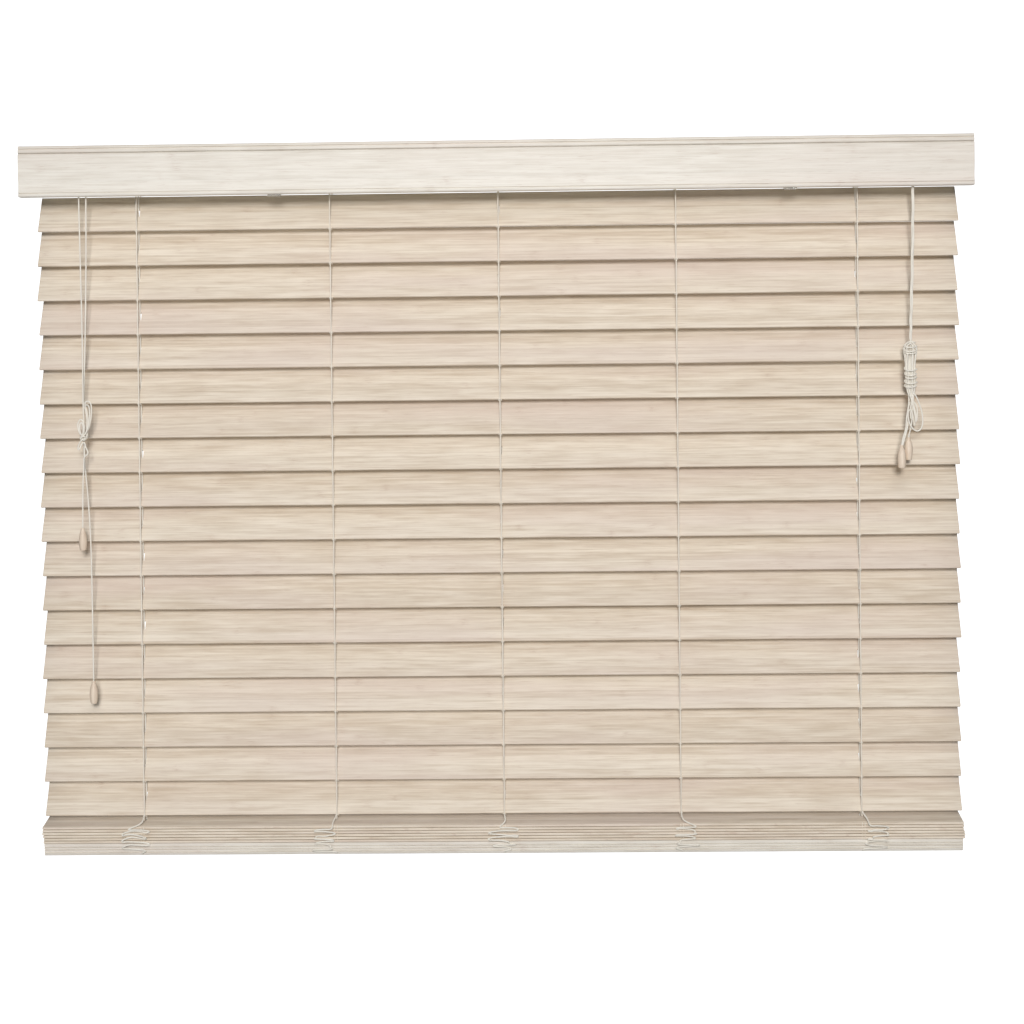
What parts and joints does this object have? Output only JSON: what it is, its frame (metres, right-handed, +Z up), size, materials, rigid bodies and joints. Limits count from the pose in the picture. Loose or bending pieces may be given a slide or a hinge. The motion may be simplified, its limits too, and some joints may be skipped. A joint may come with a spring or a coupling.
{
  "type": "venetian blind",
  "caption": "Wooden venetian blind hung part lowered: moulded valance over a steel headrail, slats closed on cord ladders, stacked slats on a bottom rail, tilt and lift cords.",
  "frame": {"origin": "on the wall plane, level with the bracket tops, midway along the blind", "axes": "+X along the slats to the right seen from the room, -Y towards the room, +Z up"},
  "size_m": [1.196, 0.077, 0.9015],
  "materials": {
    "slat_wood": "whitewashed bamboo slats, satin lacquer",
    "valance_wood": "pale whitewashed bamboo, satin lacquer",
    "tassel_wood": "turned pale wood, waxed",
    "braided_cord": "braided polyester cord, matt",
    "painted_steel": "roll-formed steel, satin cream paint",
    "plated_steel": "zinc plated",
    "moulded_plastic": "moulded nylon, matt"
  },
  "bodies": {
    "root": {"headrail": "painted_steel", "bracket_left": "painted_steel", "bracket_right": "painted_steel", "valance": "valance_wood", "tilter_housing": "moulded_plastic", "cord_lock": "moulded_plastic", "lift_cord_1": "braided_cord", "lift_cord_3": "braided_cord", "lift_cord_5": "braided_cord"},
    "tilt_rod": {"tilt_rod": "plated_steel", "tilter_gear": "moulded_plastic", "ladder_drum_1": "moulded_plastic", "ladder_drum_2": "moulded_plastic", "ladder_drum_3": "moulded_plastic", "ladder_drum_4": "moulded_plastic", "ladder_drum_5": "moulded_plastic"},
    "tilter_worm": {"tilter_worm": "moulded_plastic"},
    "slat_01": {"slat_01": "slat_wood"},
    "slat_02": {"slat_02": "slat_wood"},
    "slat_03": {"slat_03": "slat_wood"},
    "slat_04": {"slat_04": "slat_wood"},
    "slat_05": {"slat_05": "slat_wood"},
    "slat_06": {"slat_06": "slat_wood"},
    "slat_07": {"slat_07": "slat_wood"},
    "slat_08": {"slat_08": "slat_wood"},
    "slat_09": {"slat_09": "slat_wood"},
    "slat_10": {"slat_10": "slat_wood"},
    "slat_11": {"slat_11": "slat_wood"},
    "slat_12": {"slat_12": "slat_wood"},
    "slat_13": {"slat_13": "slat_wood"},
    "slat_14": {"slat_14": "slat_wood"},
    "slat_15": {"slat_15": "slat_wood"},
    "slat_16": {"slat_16": "slat_wood"},
    "slat_17": {"slat_17": "slat_wood"},
    "slat_18": {"slat_18": "slat_wood"},
    "ladder_front": {"ladder_front_1": "braided_cord", "ladder_front_2": "braided_cord", "ladder_front_3": "braided_cord", "ladder_front_4": "braided_cord", "ladder_front_5": "braided_cord"},
    "ladder_rear": {"ladder_rear_1": "braided_cord", "ladder_rear_2": "braided_cord", "ladder_rear_3": "braided_cord", "ladder_rear_4": "braided_cord", "ladder_rear_5": "braided_cord"},
    "tilt_pull_a": {"tilt_cord_a": "braided_cord", "tilt_tassel_a": "tassel_wood"},
    "tilt_pull_b": {"tilt_cord_b": "braided_cord", "tilt_tassel_b": "tassel_wood"},
    "bottom_rail": {"bottom_rail": "valance_wood"},
    "slat_19": {"slat_19": "slat_wood"},
    "slat_20": {"slat_20": "slat_wood"},
    "slat_21": {"slat_21": "slat_wood"},
    "slat_22": {"slat_22": "slat_wood"},
    "slat_23": {"slat_23": "slat_wood"},
    "slat_24": {"slat_24": "slat_wood"},
    "lift_pull": {"lift_pull_cord": "braided_cord", "lift_pull_hank": "braided_cord", "lift_tassel_a": "tassel_wood", "lift_tassel_b": "tassel_wood"}
  },
  "joints": [
    {"name": "tilt_rod_turn", "type": "hinge", "parent": "root", "child": "tilt_rod", "pos_m": [0, -0.03, -0.022], "axis": [-1, 0, 0], "range_deg": [0, 200]},
    {"name": "tilter_worm_spin", "type": "hinge", "parent": "root", "child": "tilter_worm", "pos_m": [-0.5205, -0.04, -0.0364], "axis": [0, -1, 0], "range_deg": [0, 2400]},
    {"name": "slat_01_tilt", "type": "hinge", "parent": "root", "child": "slat_01", "pos_m": [0, -0.03, -0.0826], "axis": [-1, 0, 0], "range_deg": [0, 130]},
    {"name": "slat_02_tilt", "type": "hinge", "parent": "root", "child": "slat_02", "pos_m": [0, -0.03, -0.1266], "axis": [-1, 0, 0], "range_deg": [0, 130]},
    {"name": "slat_03_tilt", "type": "hinge", "parent": "root", "child": "slat_03", "pos_m": [0, -0.03, -0.1706], "axis": [-1, 0, 0], "range_deg": [0, 130]},
    {"name": "slat_04_tilt", "type": "hinge", "parent": "root", "child": "slat_04", "pos_m": [0, -0.03, -0.2146], "axis": [-1, 0, 0], "range_deg": [0, 130]},
    {"name": "slat_05_tilt", "type": "hinge", "parent": "root", "child": "slat_05", "pos_m": [0, -0.03, -0.2586], "axis": [-1, 0, 0], "range_deg": [0, 130]},
    {"name": "slat_06_tilt", "type": "hinge", "parent": "root", "child": "slat_06", "pos_m": [0, -0.03, -0.3026], "axis": [-1, 0, 0], "range_deg": [0, 130]},
    {"name": "slat_07_tilt", "type": "hinge", "parent": "root", "child": "slat_07", "pos_m": [0, -0.03, -0.3466], "axis": [-1, 0, 0], "range_deg": [0, 130]},
    {"name": "slat_08_tilt", "type": "hinge", "parent": "root", "child": "slat_08", "pos_m": [0, -0.03, -0.3906], "axis": [-1, 0, 0], "range_deg": [0, 130]},
    {"name": "slat_09_tilt", "type": "hinge", "parent": "root", "child": "slat_09", "pos_m": [0, -0.03, -0.4346], "axis": [-1, 0, 0], "range_deg": [0, 130]},
    {"name": "slat_10_tilt", "type": "hinge", "parent": "root", "child": "slat_10", "pos_m": [0, -0.03, -0.4786], "axis": [-1, 0, 0], "range_deg": [0, 130]},
    {"name": "slat_11_tilt", "type": "hinge", "parent": "root", "child": "slat_11", "pos_m": [0, -0.03, -0.5226], "axis": [-1, 0, 0], "range_deg": [0, 130]},
    {"name": "slat_12_tilt", "type": "hinge", "parent": "root", "child": "slat_12", "pos_m": [0, -0.03, -0.5666], "axis": [-1, 0, 0], "range_deg": [0, 130]},
    {"name": "slat_13_tilt", "type": "hinge", "parent": "root", "child": "slat_13", "pos_m": [0, -0.03, -0.6106], "axis": [-1, 0, 0], "range_deg": [0, 130]},
    {"name": "slat_14_tilt", "type": "hinge", "parent": "root", "child": "slat_14", "pos_m": [0, -0.03, -0.6546], "axis": [-1, 0, 0], "range_deg": [0, 130]},
    {"name": "slat_15_tilt", "type": "hinge", "parent": "root", "child": "slat_15", "pos_m": [0, -0.03, -0.6986], "axis": [-1, 0, 0], "range_deg": [0, 130]},
    {"name": "slat_16_tilt", "type": "hinge", "parent": "root", "child": "slat_16", "pos_m": [0, -0.03, -0.7426], "axis": [-1, 0, 0], "range_deg": [0, 130]},
    {"name": "slat_17_tilt", "type": "hinge", "parent": "root", "child": "slat_17", "pos_m": [0, -0.03, -0.7866], "axis": [-1, 0, 0], "range_deg": [0, 130]},
    {"name": "slat_18_tilt", "type": "hinge", "parent": "root", "child": "slat_18", "pos_m": [0, -0.03, -0.8306], "axis": [-1, 0, 0], "range_deg": [0, 130]},
    {"name": "ladder_front_swing", "type": "hinge", "parent": "slat_01", "child": "ladder_front", "pos_m": [0, -0.04056, -0.10526], "axis": [-1, 0, 0], "range_deg": [-130, 0], "deforming": ["ladder_front_1", "ladder_front_2", "ladder_front_3", "ladder_front_4", "ladder_front_5"]},
    {"name": "ladder_rear_swing", "type": "hinge", "parent": "slat_01", "child": "ladder_rear", "pos_m": [0, -0.01944, -0.05994], "axis": [-1, 0, 0], "range_deg": [-130, 0], "deforming": ["ladder_rear_1", "ladder_rear_2", "ladder_rear_3", "ladder_rear_4", "ladder_rear_5"]},
    {"name": "tilt_pull_a_slide", "type": "slide", "parent": "root", "child": "tilt_pull_a", "axis": [0, 0, -1], "range_m": [0, 0.19], "deforming": ["tilt_cord_a"]},
    {"name": "tilt_pull_b_slide", "type": "slide", "parent": "root", "child": "tilt_pull_b", "axis": [0, 0, 1], "range_m": [0, 0.19], "deforming": ["tilt_cord_b"]},
    {"name": "bottom_rail_lower", "type": "slide", "parent": "root", "child": "bottom_rail", "axis": [0, 0, -1], "range_m": [0, 0.18], "deforming": ["lift_cord_1", "lift_cord_3", "lift_cord_5"]},
    {"name": "slat_19_lower", "type": "slide", "parent": "root", "child": "slat_19", "axis": [0, 0, -1], "range_m": [0, 0.0258]},
    {"name": "slat_20_lower", "type": "slide", "parent": "root", "child": "slat_20", "axis": [0, 0, -1], "range_m": [0, 0.0515]},
    {"name": "slat_21_lower", "type": "slide", "parent": "root", "child": "slat_21", "axis": [0, 0, -1], "range_m": [0, 0.0772]},
    {"name": "slat_22_lower", "type": "slide", "parent": "root", "child": "slat_22", "axis": [0, 0, -1], "range_m": [0, 0.103]},
    {"name": "slat_23_lower", "type": "slide", "parent": "root", "child": "slat_23", "axis": [0, 0, -1], "range_m": [0, 0.1287]},
    {"name": "slat_24_lower", "type": "slide", "parent": "root", "child": "slat_24", "axis": [0, 0, -1], "range_m": [0, 0.1544]},
    {"name": "lift_pull_rise", "type": "slide", "parent": "root", "child": "lift_pull", "axis": [0, 0, 1], "range_m": [0, 0.18], "deforming": ["lift_pull_cord"]}
  ],
  "couplings": [
    {"joint": "tilter_worm_spin", "follows": "tilt_rod_turn", "ratio": 12},
    {"joint": "slat_01_tilt", "follows": "tilt_rod_turn", "ratio": 0.65},
    {"joint": "slat_02_tilt", "follows": "tilt_rod_turn", "ratio": 0.65},
    {"joint": "slat_03_tilt", "follows": "tilt_rod_turn", "ratio": 0.65},
    {"joint": "slat_04_tilt", "follows": "tilt_rod_turn", "ratio": 0.65},
    {"joint": "slat_05_tilt", "follows": "tilt_rod_turn", "ratio": 0.65},
    {"joint": "slat_06_tilt", "follows": "tilt_rod_turn", "ratio": 0.65},
    {"joint": "slat_07_tilt", "follows": "tilt_rod_turn", "ratio": 0.65},
    {"joint": "slat_08_tilt", "follows": "tilt_rod_turn", "ratio": 0.65},
    {"joint": "slat_09_tilt", "follows": "tilt_rod_turn", "ratio": 0.65},
    {"joint": "slat_10_tilt", "follows": "tilt_rod_turn", "ratio": 0.65},
    {"joint": "slat_11_tilt", "follows": "tilt_rod_turn", "ratio": 0.65},
    {"joint": "slat_12_tilt", "follows": "tilt_rod_turn", "ratio": 0.65},
    {"joint": "slat_13_tilt", "follows": "tilt_rod_turn", "ratio": 0.65},
    {"joint": "slat_14_tilt", "follows": "tilt_rod_turn", "ratio": 0.65},
    {"joint": "slat_15_tilt", "follows": "tilt_rod_turn", "ratio": 0.65},
    {"joint": "slat_16_tilt", "follows": "tilt_rod_turn", "ratio": 0.65},
    {"joint": "slat_17_tilt", "follows": "tilt_rod_turn", "ratio": 0.65},
    {"joint": "slat_18_tilt", "follows": "tilt_rod_turn", "ratio": 0.65},
    {"joint": "ladder_front_swing", "follows": "tilt_rod_turn", "ratio": -0.65},
    {"joint": "ladder_rear_swing", "follows": "tilt_rod_turn", "ratio": -0.65},
    {"joint": "tilt_pull_a_slide", "follows": "tilt_rod_turn", "m_per_rad": 0.0544},
    {"joint": "tilt_pull_b_slide", "follows": "tilt_rod_turn", "m_per_rad": 0.0544},
    {"joint": "slat_19_lower", "follows": "bottom_rail_lower", "ratio": 0.1429},
    {"joint": "slat_20_lower", "follows": "bottom_rail_lower", "ratio": 0.2857},
    {"joint": "slat_21_lower", "follows": "bottom_rail_lower", "ratio": 0.4286},
    {"joint": "slat_22_lower", "follows": "bottom_rail_lower", "ratio": 0.5714},
    {"joint": "slat_23_lower", "follows": "bottom_rail_lower", "ratio": 0.7143},
    {"joint": "slat_24_lower", "follows": "bottom_rail_lower", "ratio": 0.8571},
    {"joint": "lift_pull_rise", "follows": "bottom_rail_lower", "ratio": 1}
  ]
}
